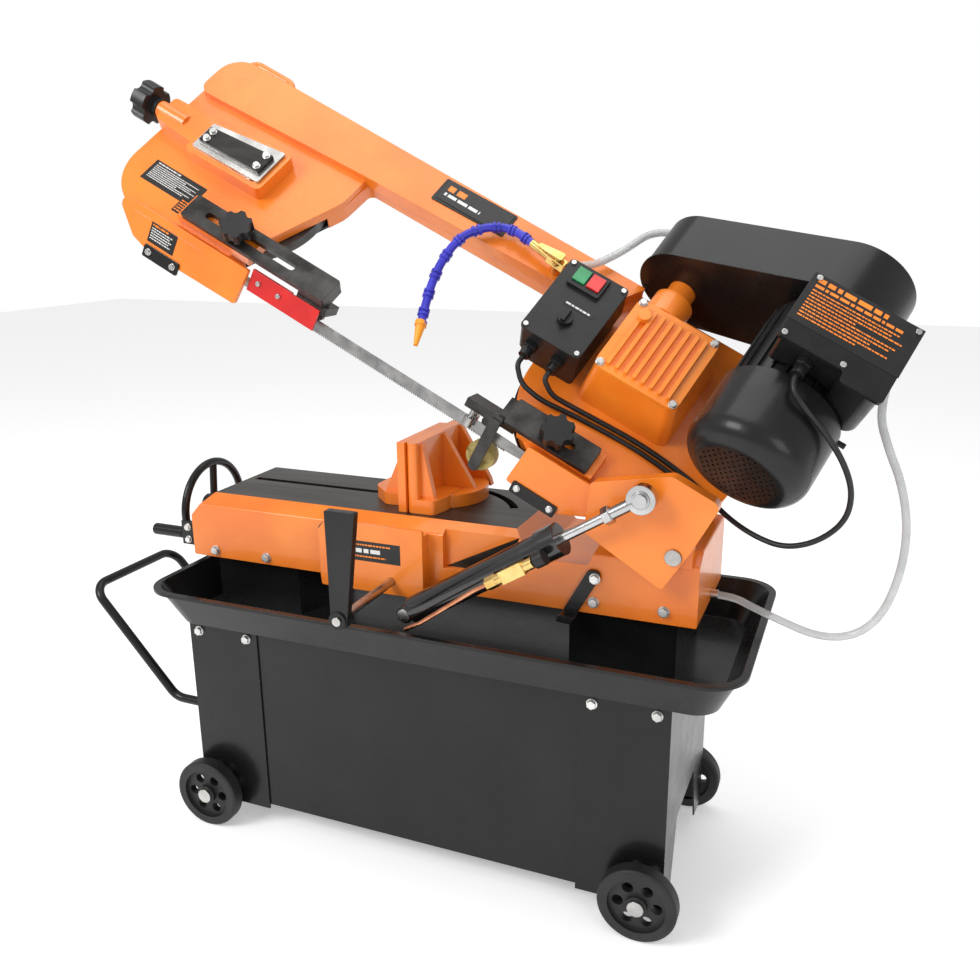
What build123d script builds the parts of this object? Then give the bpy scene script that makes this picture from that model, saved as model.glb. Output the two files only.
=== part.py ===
"""Horizontal metal-cutting band saw on a wheeled stand, with its head part raised.

Frame: +X along the machine towards the head's hinge, -Y towards the operator,
+Z up, origin on the floor under the middle of the machine's box. Millimetres.
Everything is drawn about the middle of the stand, and moved by ORIGIN_Y when it is written.
"""
from build123d import *
from math import atan2, cos, degrees, hypot, pi, radians, sin, sqrt
import os

os.makedirs("parts", exist_ok=True)

# ---- driving dimensions ----
FIT = 0.05            # radial clearance of a running fit
GAP = 0.3             # clearance between faces that move past each other
SHEET = 3.0           # stand and tray sheet
ORIGIN_Y = 50.0       # how far the middle of the stand lies behind the origin

STAND_L = 874.0       # stand length over the leg faces
STAND_D = 326.0       # stand depth over the leg faces
LEG_W = 143.0         # width of a leg's front flange
LEG_FOOT = 36.0       # floor to the bottom of the legs
LEG_TOP = 402.0       # floor to the top of the legs
WHEEL_R = 63.5        # transport wheel
WHEEL_T = 27.0
AXLE_R = 8.0
AXLE_INSET = 33.0     # axle centre from the end of the stand
WHEEL_GAP = 14.0      # leg face to wheel

TRAY_L = 1026.0
TRAY_D = 439.0
TRAY_X = 32.0
TRAY_Y = -14.0
TRAY_H = 67.0
TRAY_SLOPE = 40.0     # how far each tray wall leans out

BED_BOTTOM = 500.0
BED_TOP = 613.0
BED_LEFT = -450.0
BED_RIGHT = 458.0
BED_FRONT = -115.0
BED_BACK = 100.0
BED_TABLE_END = 165.0
BED_WALL = 14.0

SLOT_Y = 18.0         # vise screw line
SCREW_Z = 550.0
SCREW_R = 10.0
JAW_H = 119.0
JAW_FACE = -36.0
JAW_FRONT = -73.0
HAND_R = 84.0
HAND_X = -505.0

PIVOT_X = 425.0       # head hinge
PIVOT_Z = 620.0
PIVOT_R = 12.0
HEAD_RAISE = 27.5     # head angle as drawn, from level
HEAD_TILT = 45.0      # lean of the wheel plane
BLADE_Y = -118.0      # cutting plane
BLADE_Z = 616.5       # blade centre when the head is level
BLADE_W = 19.0
BLADE_T = 0.9

BAND_WHEEL_R = 147.5
BAND_WHEEL_W = 20.0
IDLER_X = -925.0
DRIVE_X = -165.0
POCKET_R = 157.0
FACE_RIGHT = 18.0     # casting face over the drive wheel
FACE_LEFT = 30.0      # casting face over the idler wheel
FACE_SPINE = 42.0
HEAD_BACK = 336.0
HEAD_LIP = -12.0

WORM_X = -205.0
WORM_W = 76.0
MOTOR_X = 12.0
MOTOR_W = 170.0
MOTOR_R = 80.0
BELT_PLATE_V = 340.0
BELT_DEPTH = 90.0

CYL_Y = -177.0        # hydraulic cylinder's plane
ARM_FACE_Y = -150.0   # front face of the head's hinge arm
SKIRT_Y = -140.0      # front face of the skirt behind the cylinder
GUARD_SKIRT_Y = -147.0   # front face of the skirt over the red guard
CYL_BASE = (11.0, 480.0)
CYL_EYE = (383.0, 710.0)
CYL_R = 22.5
ROD_R = 8.0

# ---- small helpers ----
def block(x0, x1, y0, y1, z0, z1):
    return Pos((x0 + x1) / 2, (y0 + y1) / 2, (z0 + z1) / 2) * Box(x1 - x0, y1 - y0, z1 - z0)


def rod(start, end, radius):
    """Round bar between two points."""
    run = Vector(*end) - Vector(*start)
    return extrude(Plane(Vector(*start), z_dir=run) * Circle(radius), run.length)


def ring(start, end, outer, inner):
    run = Vector(*end) - Vector(*start)
    section = Circle(outer) - Circle(inner)
    return extrude(Plane(Vector(*start), z_dir=run) * section, run.length)


def outline(points):
    """Closed outline from (x, y, corner radius)."""
    line = FilletPolyline(*[p[:2] for p in points], radius=[p[2] for p in points], close=True)
    return make_face(line)


def slab(points, z0, z1):
    """Flat outline in X-Y from z0 to z1."""
    return Pos(0, 0, z0) * extrude(outline(points), z1 - z0)


def wall(points, y0, y1):
    """Flat outline in X-Z from y0 to y1."""
    return extrude(Plane.XZ.offset(-y1) * outline(points), y1 - y0)


def rib(points, x0, x1):
    """Flat outline in Y-Z from x0 to x1."""
    return extrude(Plane.YZ.offset(x0) * outline(points), x1 - x0)


def hexagon(start, end, across):
    run = Vector(*end) - Vector(*start)
    section = RegularPolygon(across / 2, 6, major_radius=False)
    return extrude(Plane(Vector(*start), z_dir=run) * section, run.length)


def bolt(seat, axis, size=8.0):
    """Hex head with its washer and a short shank sunk under the seat."""
    n = Vector(*axis)
    p = Vector(*seat)
    washer = rod(p, p + n * size * 0.2, size * 1.1)
    head = hexagon(p + n * size * 0.2, p + n * size * 0.85, size * 1.6)
    return washer + head


def star_knob(centre, axis, radius, height, lobes=7):
    """Star grip: a disc with round scallops, and a hub on its lower side."""
    section = Circle(radius)
    for i in range(lobes):
        a = 2 * pi * (i + 0.5) / lobes
        section -= Pos(radius * 1.12 * cos(a), radius * 1.12 * sin(a)) * Circle(radius * 0.32)
    plane = Plane(Vector(*centre), z_dir=Vector(*axis))
    grip = extrude(plane.offset(height * 0.3) * section, height * 0.7)
    hub = extrude(plane * Circle(radius * 0.5), height * 0.3)
    return grip + hub


def tube(points, radii, radius, bore=0.0):
    """Round tube along straight runs joined by tangent arcs."""
    path = FilletPolyline(*points, radius=radii)
    section = Circle(radius) - Circle(bore) if bore else Circle(radius)
    return sweep(Plane(path @ 0, z_dir=path % 0) * section, path=path)


def arc_radii(points, share=0.45):
    """Largest tangent arc at each inner point: share of its shorter run."""
    radii = []
    for a, b, c in zip(points, points[1:], points[2:]):
        first = Vector(*b) - Vector(*a)
        second = Vector(*c) - Vector(*b)
        turn = radians(first.get_angle(second))
        radii.append(share * min(first.length, second.length) / sin(turn / 2) * cos(turn / 2))
    return radii


LEVEL = Pos(PIVOT_X, 0, PIVOT_Z) * Rot(0, HEAD_RAISE, 0)
HEAD_T = LEVEL * Pos(0, BLADE_Y, BLADE_Z - PIVOT_Z) * Rot(HEAD_TILT, 0, 0)   # x, v, w
HEAD_V = LEVEL * Pos(0, 0, -PIVOT_Z)                                        # x, y, z level

NODES = {}


def keep(name, *solids):
    """Collect a node's separate solids."""
    NODES.setdefault(name, []).extend(solids)


# ---- stand ----
HALF_L = STAND_L / 2
HALF_D = STAND_D / 2


def stand_leg(side):
    """Bent sheet leg: front flange, end face with a foot cut-out, rear flange."""
    outer = block(HALF_L - LEG_W, HALF_L, -HALF_D, HALF_D, LEG_FOOT, LEG_TOP)
    inner = block(HALF_L - LEG_W - 1, HALF_L - SHEET, -HALF_D + SHEET, HALF_D - SHEET, 0, LEG_TOP + 1)
    foot = [(-105, LEG_FOOT - 1, 0.5), (105, LEG_FOOT - 1, 0.5), (72, 150, 12), (-72, 150, 12)]
    leg = outer - inner - rib(foot, HALF_L - SHEET - 1, HALF_L + 1)
    for y in (-1, 1):
        leg -= rod((HALF_L - AXLE_INSET, y * (HALF_D + 1), WHEEL_R), (HALF_L - AXLE_INSET, y * (HALF_D - 9), WHEEL_R),
                   AXLE_R + FIT)
    return leg if side > 0 else leg.rotate(Axis.Z, 180)


keep("stand_legs", stand_leg(-1), stand_leg(1))
PANEL_X = HALF_L - LEG_W + 8
for face in (-1, 1):
    skin = sorted((face * (HALF_D - SHEET), face * (HALF_D - 2 * SHEET)))
    keep("stand_panels", block(-PANEL_X, PANEL_X, skin[0], skin[1], LEG_FOOT + 8, LEG_TOP - 1))


def tray():
    """Chip tray with leaning walls and a rolled rim."""
    length, depth = TRAY_L - 2 * TRAY_SLOPE, TRAY_D - 2 * TRAY_SLOPE
    def pan(z0, z1, inset):
        low = Pos(TRAY_X, TRAY_Y, z0) * RectangleRounded(length - 2 * inset, depth - 2 * inset, 40)
        high = Pos(TRAY_X, TRAY_Y, z1) * RectangleRounded(TRAY_L - 16 - 2 * inset, TRAY_D - 16 - 2 * inset, 55)
        return loft([low, high])
    body = pan(LEG_TOP, LEG_TOP + TRAY_H, 0) - pan(LEG_TOP + SHEET, LEG_TOP + TRAY_H + 0.01, SHEET)
    rim = Pos(TRAY_X, TRAY_Y, LEG_TOP + TRAY_H - 5) * extrude(RectangleRounded(TRAY_L, TRAY_D, 62), 5)
    rim -= pan(LEG_TOP + SHEET, LEG_TOP + TRAY_H + 0.01, SHEET)
    return body + rim


keep("chip_tray", tray())

PED_X = (-415.0, -245.0, 255.0, 425.0)
PED_D = 92.0
for x0, x1 in (PED_X[:2], PED_X[2:]):
    box = block(x0, x1, -PED_D, PED_D, LEG_TOP + SHEET, BED_BOTTOM)
    keep("pedestals", box - block(x0 + 4, x1 - 4, -PED_D + 4, PED_D - 4, LEG_TOP + SHEET - 1, BED_BOTTOM - 4))


# ---- transport wheels, axles and handle ----
WHEEL_Y = HALF_D + WHEEL_GAP + WHEEL_T / 2
AXLE_X = HALF_L - AXLE_INSET


def transport_wheel(x, side):
    """Hard tyre on a moulded centre with six openings."""
    y = side * WHEEL_Y
    half = WHEEL_T / 2
    body = rod((x, y - half, WHEEL_R), (x, y + half, WHEEL_R), WHEEL_R)
    body = fillet(body.edges().filter_by(GeomType.CIRCLE), 5)
    for face in (-1, 1):
        body -= ring((x, y + face * (half - 7), WHEEL_R), (x, y + face * (half + 1), WHEEL_R), 46, 17)
    for i in range(6):
        a = pi / 3 * i
        cx, cz = x + 31 * cos(a), WHEEL_R + 31 * sin(a)
        body -= rod((cx, y - half - 1, cz), (cx, y + half + 1, cz), 9)
    return body - rod((x, y - half - 1, WHEEL_R), (x, y + half + 1, WHEEL_R), AXLE_R + FIT)


for tag, x, side in (("front_left", -AXLE_X, -1), ("front_right", AXLE_X, -1),
                     ("rear_left", -AXLE_X, 1), ("rear_right", AXLE_X, 1)):
    keep("wheel_" + tag, transport_wheel(x, side))
for x in (-AXLE_X, AXLE_X):
    end = WHEEL_Y + WHEEL_T / 2 + GAP
    axle = rod((x, -end - 5, WHEEL_R), (x, end + 5, WHEEL_R), AXLE_R)
    for side in (-1, 1):
        axle += rod((x, side * end, WHEEL_R), (x, side * (end + 5), WHEEL_R), 13)
        axle += rod((x, side * HALF_D, WHEEL_R), (x, side * (HALF_D + WHEEL_GAP - GAP), WHEEL_R), 13)
    keep("steel_shafts", axle)

HANDLE_Y = 115.0
HANDLE_R = 8.5
HANDLE_BEND = 91.0    # leg face to the handle's lower bend
HANDLE_REACH = 269.0  # leg face to the handle's grip
bend, grip = -HALF_L - HANDLE_BEND, -HALF_L - HANDLE_REACH
handle_path = [(-HALF_L, HANDLE_Y, 196), (bend, HANDLE_Y, 196), (grip, HANDLE_Y, 398),
               (grip, -HANDLE_Y, 398), (bend, -HANDLE_Y, 196), (-HALF_L, -HANDLE_Y, 196)]
keep("transport_handle", tube(handle_path, [40, 34, 34, 40], HANDLE_R))
for side in (-1, 1):
    keep("transport_handle", block(-HALF_L - 3, -HALF_L, side * HANDLE_Y - 28, side * HANDLE_Y - 9, 176, 216),
         block(-HALF_L - 3, -HALF_L, side * HANDLE_Y + 9, side * HANDLE_Y + 28, 176, 216))

# ---- stand and bed bolts ----
for x in (-HALF_L + 21, -HALF_L + LEG_W - 21, HALF_L - LEG_W + 21, HALF_L - 21):
    for side in (-1, 1):
        keep("base_bolts", bolt((x, side * HALF_D, LEG_TOP - 28), (0, side, 0)))
for z in (300, 374):
    for y in (-140, 140):
        keep("base_bolts", bolt((-HALF_L, y, z), (-1, 0, 0)))
for x, z in ((-402, 513), (-294, 513), (300, 519), (408, 520)):
    keep("base_bolts", bolt((x, BED_FRONT, z), (0, -1, 0)))

# ---- coolant tank and pump inside the stand ----
tank = block(60, 270, -120, 120, 60, 240)
keep("coolant_unit", tank - block(64, 266, -116, 116, 64, 241),
     rod((120, 0, 110), (120, 0, 236), 30), block(60, 270, -120, 120, 240, 246) - rod((120, 0, 230), (120, 0, 250), 36),
     rod((120, 0, 236), (120, 0, 330), 42))
keep("stand_panels", block(-PANEL_X, PANEL_X, -HALF_D + 2 * SHEET, HALF_D - 2 * SHEET, 56, 60))


# ---- bed casting ----
def bed():
    """Hollow box casting: table, front box, hinge block and its two ears."""
    side = [(BED_LEFT, BED_BOTTOM, 3), (BED_LEFT, 574, 8), (-414, BED_TOP, 3), (BED_TABLE_END, BED_TOP, 3),
            (205, 578, 6), (290, 578, 6), (305, BED_TOP, 3), (BED_RIGHT, BED_TOP, 3), (BED_RIGHT, BED_BOTTOM, 3)]
    body = wall(side, BED_FRONT, BED_BACK)
    end = [(BED_FRONT, BED_BOTTOM - 1, 0.5), (BED_FRONT, 596, 4), (-86, BED_TOP + 1, 2),
           (BED_BACK, BED_TOP + 1, 2), (BED_BACK, BED_BOTTOM - 1, 0.5)]
    body = body & rib(end, BED_LEFT - 1, BED_RIGHT + 1)
    body += block(-164, BED_TABLE_END - 10, BED_BACK - 1, BED_BACK + 11, BED_BOTTOM, BED_TOP)
    box = [(-170, 506, 3), (-170, 592, 10), (-158, 606, 4), (22, 606, 3), (22, 490, 3), (-168, 490, 3)]
    body += wall(box, BED_FRONT - 23, BED_FRONT + 1)
    # hollow underside
    body -= block(BED_LEFT + BED_WALL, 285, BED_FRONT + BED_WALL, BED_BACK - BED_WALL, BED_BOTTOM - 1, 562)
    body -= block(310, BED_RIGHT - BED_WALL, BED_FRONT + BED_WALL, BED_BACK - BED_WALL, BED_BOTTOM - 1, 590)
    # blade clearance groove and brush relief
    body -= block(-130, 42, -132, -112, 596, BED_TOP + 1)
    body -= block(48, 175, BED_FRONT - 1, -103, 540, BED_TOP + 1)
    # vise slot
    body -= block(-399, -60, SLOT_Y - 7, SLOT_Y + 7, 550, BED_TOP + 1)
    body -= block(BED_LEFT + BED_WALL, -30, SLOT_Y - 22, SLOT_Y + 22, 520, 600)
    body -= rod((BED_LEFT - 1, SLOT_Y, SCREW_Z), (-399, SLOT_Y, SCREW_Z), SCREW_R + FIT)
    body -= rod((STOP_X, BED_FRONT - 24, STOP_Z), (STOP_X, -95, STOP_Z), STOP_R + FIT)
    # lock slot of the fixed jaw: an arc about its pivot
    arc = Pos(JAW_PIVOT[0], JAW_PIVOT[1], 560) * extrude(Circle(LOCK_REACH + 7) - Circle(LOCK_REACH - 7), 60)
    a0, a1 = radians(LOCK_ANGLE + 4), radians(LOCK_ANGLE - 49)
    wedge = [(0, 0, 0.1), (300 * cos(a0), 300 * sin(a0), 0.1), (300 * cos(a1), 300 * sin(a1), 0.1)]
    body -= arc & (Pos(JAW_PIVOT[0], JAW_PIVOT[1], 0) * slab(wedge, 560, 620))
    # hinge ears
    for y0, y1 in EARS:
        body += rod((PIVOT_X, y0, PIVOT_Z), (PIVOT_X, y1, PIVOT_Z), 22)
        body += block(PIVOT_X - 22, PIVOT_X + 22, y0, y1, BED_TOP - 20, PIVOT_Z)
    # cylinder's lower lug
    x, z = CYL_BASE
    body += rod((x, BED_FRONT - 23, z), (x, BED_FRONT, z), 15) + block(x - 15, x + 11, BED_FRONT - 23, BED_FRONT, z, 500)
    body -= rod((PIVOT_X, -200, PIVOT_Z), (PIVOT_X, 200, PIVOT_Z), PIVOT_R)
    return body


EARS = ((-119.0, -98.0), (70.0, 91.0))
STOP_X, STOP_Z, STOP_R = -36.0, 513.0, 7.0
STOP_OUT = 185.0      # stop rod standing out of the bed
JAW_PIVOT = (JAW_FACE + 12.0, JAW_FRONT + 9.0)
LOCK_REACH = 165.0
LOCK_ANGLE = 76.0     # direction of the lock bolt from the jaw's pivot
keep("bed_casting", bed())
keep("steel_shafts", rod((PIVOT_X, -154, PIVOT_Z), (PIVOT_X, 128, PIVOT_Z), PIVOT_R))


# ---- vise ----
def jaw_plate(x0, x1, front, back):
    return block(x0, x1, front, back, BED_TOP + GAP, BED_TOP + JAW_H)


def fixed_jaw():
    """Ribbed jaw on a round foot; its front corner is round about the pivot."""
    px, py = JAW_PIVOT
    disc = (Pos(-22, 40, BED_TOP + GAP) * extrude(Circle(80), 22)) & block(JAW_FACE, 100, -60, 160, 600, 650)
    lug = slab([(JAW_FACE, JAW_FRONT - 3, 11.9), (14, JAW_FRONT - 3, 9), (22, -40, 8), (22, 20, 3), (JAW_FACE, 20, 3)],
               BED_TOP + GAP, BED_TOP + 24)
    plate = slab([(JAW_FACE, JAW_FRONT - 3, 11.9), (-14, JAW_FRONT - 3, 6), (-14, 118, 3), (JAW_FACE, 118, 3)],
                 BED_TOP + GAP, BED_TOP + JAW_H)
    body = disc + lug + plate
    for y in (-58, 30, 100):
        web = [(-16, BED_TOP + 10, 1), (48 if y > 0 else 12, BED_TOP + 10, 1), (44 if y > 0 else 10, BED_TOP + 24, 2),
               (-10, BED_TOP + JAW_H - 4, 2), (-16, BED_TOP + JAW_H - 4, 1)]
        body += wall(web, y - 6, y + 6)
    lock = (px + LOCK_REACH * cos(radians(LOCK_ANGLE)), py + LOCK_REACH * sin(radians(LOCK_ANGLE)))
    foot = Pos(lock[0], lock[1], BED_TOP + GAP) * extrude(Circle(16), 14)
    body += foot
    body += rod((lock[0], lock[1], 570), (lock[0], lock[1], BED_TOP + 10), 6)
    return body


def movable_jaw():
    """Sliding jaw with its foot and the nut that hangs into the bed's slot."""
    x1 = JAW_FACE - GAP
    body = jaw_plate(x1 - 14, x1, JAW_FRONT - 3, 90)
    foot = slab([(x1, JAW_FRONT + 30, 2), (x1, 70, 2), (x1 - 55, 75, 20), (x1 - 92, 45, 22), (x1 - 92, -8, 22),
                 (x1 - 55, JAW_FRONT + 28, 20)], BED_TOP + GAP, BED_TOP + 22)
    body += foot
    for y in (-30, 20, 65):
        web = [(x1 - 12, BED_TOP + 10, 1), (x1 - 60, BED_TOP + 10, 1), (x1 - 58, BED_TOP + 24, 2),
               (x1 - 18, BED_TOP + JAW_H - 6, 2), (x1 - 12, BED_TOP + JAW_H - 6, 1)]
        body += wall(web, y - 6, y + 6)
    body += block(x1 - 70, x1 - 40, SLOT_Y - 6.5, SLOT_Y + 6.5, 570, BED_TOP + 5)
    nut = block(x1 - 76, x1 - 34, SLOT_Y - 18, SLOT_Y + 18, 532, 576)
    return body + nut - rod((x1 - 200, SLOT_Y, SCREW_Z), (x1 + 50, SLOT_Y, SCREW_Z), SCREW_R + FIT)


keep("fixed_jaw", fixed_jaw())
keep("movable_jaw", movable_jaw())
keep("vise_screw", rod((HAND_X - 12, SLOT_Y, SCREW_Z), (-60, SLOT_Y, SCREW_Z), SCREW_R))


def handwheel():
    """Cast rim, three spokes and a hub, with a boss for the crank grip."""
    rim = Plane.XZ * (Pos(HAND_R, 0) * Circle(7.5))
    rim = revolve(rim, Axis.Z)
    rim = Pos(HAND_X, SLOT_Y, SCREW_Z) * Rot(0, 90, 0) * rim
    hub = rod((HAND_X - 14, SLOT_Y, SCREW_Z), (HAND_X + 20, SLOT_Y, SCREW_Z), 20)
    for i in range(3):
        a = radians(CRANK_ANGLE + 120 * i)
        tip = (HAND_X, SLOT_Y + (HAND_R - 3) * cos(a), SCREW_Z + (HAND_R - 3) * sin(a))
        hub += rod((HAND_X, SLOT_Y, SCREW_Z), tip, 7)
    cy, cz = crank_place()
    boss = rod((HAND_X - 12, cy, cz), (HAND_X + 8, cy, cz), 11)
    wheel = rim + hub + boss
    return wheel - rod((HAND_X - 40, SLOT_Y, SCREW_Z), (HAND_X + 40, SLOT_Y, SCREW_Z), SCREW_R)


CRANK_ANGLE = 205.0


def crank_place():
    a = radians(CRANK_ANGLE)
    return SLOT_Y + HAND_R * cos(a), SCREW_Z + HAND_R * sin(a)


keep("handwheel", handwheel())
cy, cz = crank_place()
grip = rod((HAND_X - 12 - GAP, cy, cz), (HAND_X - 82, cy, cz), 11)
grip = fillet(grip.edges().filter_by(GeomType.CIRCLE), 4)
keep("crank_grip", grip)

# ---- brackets on the bed ----
strap = wall([(292, 572, 8), (316, 572, 8), (276, 500, 4), (252, 500, 4)], BED_FRONT - 6, BED_FRONT)
strap += wall([(252, 500, 2), (278, 500, 2), (272, 488, 2), (247, 490, 2)], BED_FRONT - 26, BED_FRONT)
keep("base_bolts", strap, block(BED_LEFT - 34, BED_LEFT, -104, -98, 512, 556) +
     block(BED_LEFT - 4, BED_LEFT, -104, -70, 512, 556))
keep("base_bolts", bolt((303, BED_FRONT - 6, 560), (0, -1, 0)), bolt((BED_LEFT - 20, -104, 522), (0, -1, 0), 6),
     bolt((BED_LEFT - 20, -104, 545), (0, -1, 0), 6))

# ---- work stop ----
STOP_END = BED_FRONT - STOP_OUT
keep("stop_rod", rod((STOP_X, STOP_END - 12, STOP_Z), (STOP_X, -60, STOP_Z), STOP_R))
arm = wall([(STOP_X - 14, STOP_Z + 170, 3), (STOP_X + 36, STOP_Z + 170, 3), (STOP_X + 14, STOP_Z - 12, 5),
            (STOP_X - 12, STOP_Z - 12, 5)], STOP_END - 6, STOP_END + 6)
arm += rod((STOP_X, STOP_END - 9, STOP_Z), (STOP_X, STOP_END + 16, STOP_Z), 14)
keep("stop_arm", arm - rod((STOP_X, STOP_END - 50, STOP_Z), (STOP_X, STOP_END + 50, STOP_Z), STOP_R + FIT))

# ---- hydraulic feed cylinder ----
CYL_RUN = (CYL_EYE[0] - CYL_BASE[0], CYL_EYE[1] - CYL_BASE[1])
CYL_LEN = hypot(*CYL_RUN)
CYL = Pos(CYL_BASE[0], CYL_Y, CYL_BASE[1]) * Rot(0, -degrees(atan2(CYL_RUN[1], CYL_RUN[0])), 0)  # x along it
TUBE_END = 300.0


def cylinder_tube():
    body = rod((16, 0, 0), (TUBE_END, 0, 0), CYL_R) + rod((TUBE_END - 34, 0, 0), (TUBE_END, 0, 0), CYL_R + 3)
    body += block(-4, 20, -7, 7, -13, 13) + rod((0, -7, 0), (0, 7, 0), 14)
    body -= rod((24, 0, 0), (TUBE_END - 12, 0, 0), CYL_R - 3)
    body -= rod((TUBE_END - 20, 0, 0), (TUBE_END + 1, 0, 0), ROD_R + FIT)
    return body - rod((0, -20, 0), (0, 20, 0), 6 + FIT)


def cylinder_rod():
    body = rod((TUBE_END - 120, 0, 0), (CYL_LEN - 18, 0, 0), ROD_R) + rod((TUBE_END - 126, 0, 0), (TUBE_END - 112, 0, 0), CYL_R - 3 - FIT)
    body += hexagon((CYL_LEN - 62, 0, 0), (CYL_LEN - 50, 0, 0), 24)
    body += rod((CYL_LEN - 50, 0, 0), (CYL_LEN - 14, 0, 0), 9.5)
    eye = ring((CYL_LEN, -9, 0), (CYL_LEN, 9, 0), 21, 13)
    ball = ring((CYL_LEN, -11, 0), (CYL_LEN, 11, 0), 12.9, 6)
    pin = rod((CYL_LEN, -14, 0), (CYL_LEN, EYE_PIN, 0), 6)
    return body + eye + ball + pin + rod((CYL_LEN, -16, 0), (CYL_LEN, -11, 0), 10)


EYE_PIN = ARM_FACE_Y - 0.5 - CYL_Y   # the pin stops just short of the head's boss
keep("cylinder_tube", CYL * cylinder_tube())
keep("cylinder_rod", CYL * cylinder_rod())
keep("steel_shafts", rod((CYL_BASE[0], CYL_Y - 12, CYL_BASE[1]), (CYL_BASE[0], BED_FRONT - 23, CYL_BASE[1]), 6) +
     rod((CYL_BASE[0], CYL_Y - 12, CYL_BASE[1]), (CYL_BASE[0], CYL_Y - 7 - GAP, CYL_BASE[1]), 11) +
     rod((CYL_BASE[0], CYL_Y + 7 + GAP, CYL_BASE[1]), (CYL_BASE[0], BED_FRONT - 23, CYL_BASE[1]), 10))
VALVE_Y = -CYL_R - 16.5
valve = hexagon((178, VALVE_Y, -8), (196, VALVE_Y, -8), 18) + rod((196, VALVE_Y, -8), (262, VALVE_Y, -8), 9)
valve += block(206, 246, VALVE_Y - 10, VALVE_Y + 10, -18, 2) + rod((226, VALVE_Y, -8), (226, -CYL_R + 1, -8), 7)
copper = [(6, VALVE_Y + 6, -17), (40, VALVE_Y, -17), (100, VALVE_Y, -12), (150, VALVE_Y, -8), (178, VALVE_Y, -8)]
keep("feed_valve", CYL * (valve - rod((0, 0, 0), (TUBE_END, 0, 0), CYL_R) - rod((240, VALVE_Y, -8), (270, VALVE_Y, -8), 4 + FIT)))
keep("copper_pipe", CYL * tube(copper, [30, 60, 60], 3.5))
knob = rod((266, VALVE_Y, -8), (282, VALVE_Y, -8), 12) + rod((244, VALVE_Y, -8), (270, VALVE_Y, -8), 4)
keep("valve_knob", CYL * knob)


# ---- head casting ----
def head_outline(inset=0.0):
    """Bow outline in the wheel plane: idler lobe, spine, drive lobe."""
    i = inset
    return [(-1102 + i, -12 + i, 90), (-842 - i, -12 + i, 70), (-757 - i, 196, 60), (-752 - i, 262 + i, 12),
            (-345 + i, 265 + i, 30), (-333 + i, -12 + i, 140), (18 - i, -12 + i, 138), (18 - i, HEAD_BACK - i, 60),
            (-1098 + i, HEAD_BACK - i, 46)]


def head_casting():
    """Dished bow casting with the seats that its fittings sit on."""
    body = slab(head_outline(), HEAD_LIP, FACE_RIGHT)
    lobe = [(-1102, -12, 90), (-842, -12, 70), (-757, 196, 60), (-752, HEAD_BACK, 2), (-1098, HEAD_BACK, 46)]
    body += slab(lobe, FACE_RIGHT - 1, FACE_LEFT)
    spine = [(-1100, 238, 20), (-758, 254, 60), (-345, 265, 3), (-300, 268, 3), (-260, HEAD_BACK, 3), (-1098, HEAD_BACK, 46)]
    body += slab(spine, FACE_RIGHT - 1, FACE_SPINE)
    # tension channel, tracking pad and arm seats
    body += slab([(-1108, 142, 8), (-1012, 136, 8), (-1012, 198, 8), (-1108, 194, 8)], FACE_LEFT - 1, 52)
    body += rod((-1118, TENSION_V, TENSION_W), (-1060, TENSION_V, TENSION_W), 15)
    body += slab([(-1022, 118, 10), (-868, 121, 10), (-866, 212, 10), (-1022, 190, 10)], FACE_LEFT - 1, PAD_W)
    body += block(-945, -800, 12.5, 60, FACE_LEFT - 1, ARM_L_W)
    body += block(-290, -160, 12, 58, FACE_RIGHT - 1, ARM_R_W)
    # front hinge arm, skirts and rear hinge leg stand upright when the head is level
    front = [(-128, 578, 6), (11, 566, 6), (17, 640, 6), (18, 722, 12), (-60, 722, 12), (-156, 650, 8)]
    upright = wall(front, -150, -124)
    upright += wall([(-1012, 590, 10), (-977, 580, 4), (-795, 583, 4), (-790, 645, 3), (-937, 645, 4), (-1066, 643, 12)],
                    GUARD_SKIRT_Y, GUARD_SKIRT_Y + 7)
    upright += wall([(-262, 642, 3), (-270, 577, 4), (-182, 572, 4), (-130, 600, 4), (-120, 642, 6)], SKIRT_Y, SKIRT_Y + 7)
    upright += block(-44, 18, REAR_LEG_Y, REAR_LEG_Y + 24, 596, 846)
    body += T_FROM_V * upright
    # wheel pockets, the blade's runs and its way out at the bottom
    body -= rod((IDLER_X, WHEEL_V, HEAD_LIP - 1), (IDLER_X, WHEEL_V, 12), POCKET_R)
    body -= rod((DRIVE_X, WHEEL_V, HEAD_LIP - 1), (DRIVE_X, WHEEL_V, 12), POCKET_R)
    body -= block(IDLER_X, DRIVE_X, 276, 318, HEAD_LIP - 1, 12)
    body -= block(IDLER_X, -740, -8, 14, HEAD_LIP - 1, 12)
    body -= block(-400, DRIVE_X, -8, 14, HEAD_LIP - 1, 12)
    body -= block(-985, -905 + 8, WHEEL_V - 10 - GAP, WHEEL_V + 10 + GAP, 0, 40)
    body -= block(*SLIDE_X_ROOM, *SLIDE_V_ROOM, FACE_LEFT - 4, PAD_W + 1)
    body -= rod((-1130, TENSION_V, TENSION_W), (-990, TENSION_V, TENSION_W), 6 + FIT)
    body -= rod((DRIVE_X, WHEEL_V, 0), (DRIVE_X, WHEEL_V, FACE_RIGHT + 1), 14)
    # lifting loop on the back edge
    body += tube([(-1080, HEAD_BACK - 8, 15), (-1080, HEAD_BACK + 20, 15), (-990, HEAD_BACK + 20, 15),
                  (-990, HEAD_BACK - 8, 15)], [16, 16], 8)
    return body - T_FROM_V * rod((0, -160, PIVOT_Z), (0, 160, PIVOT_Z), PIVOT_R + FIT)


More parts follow.
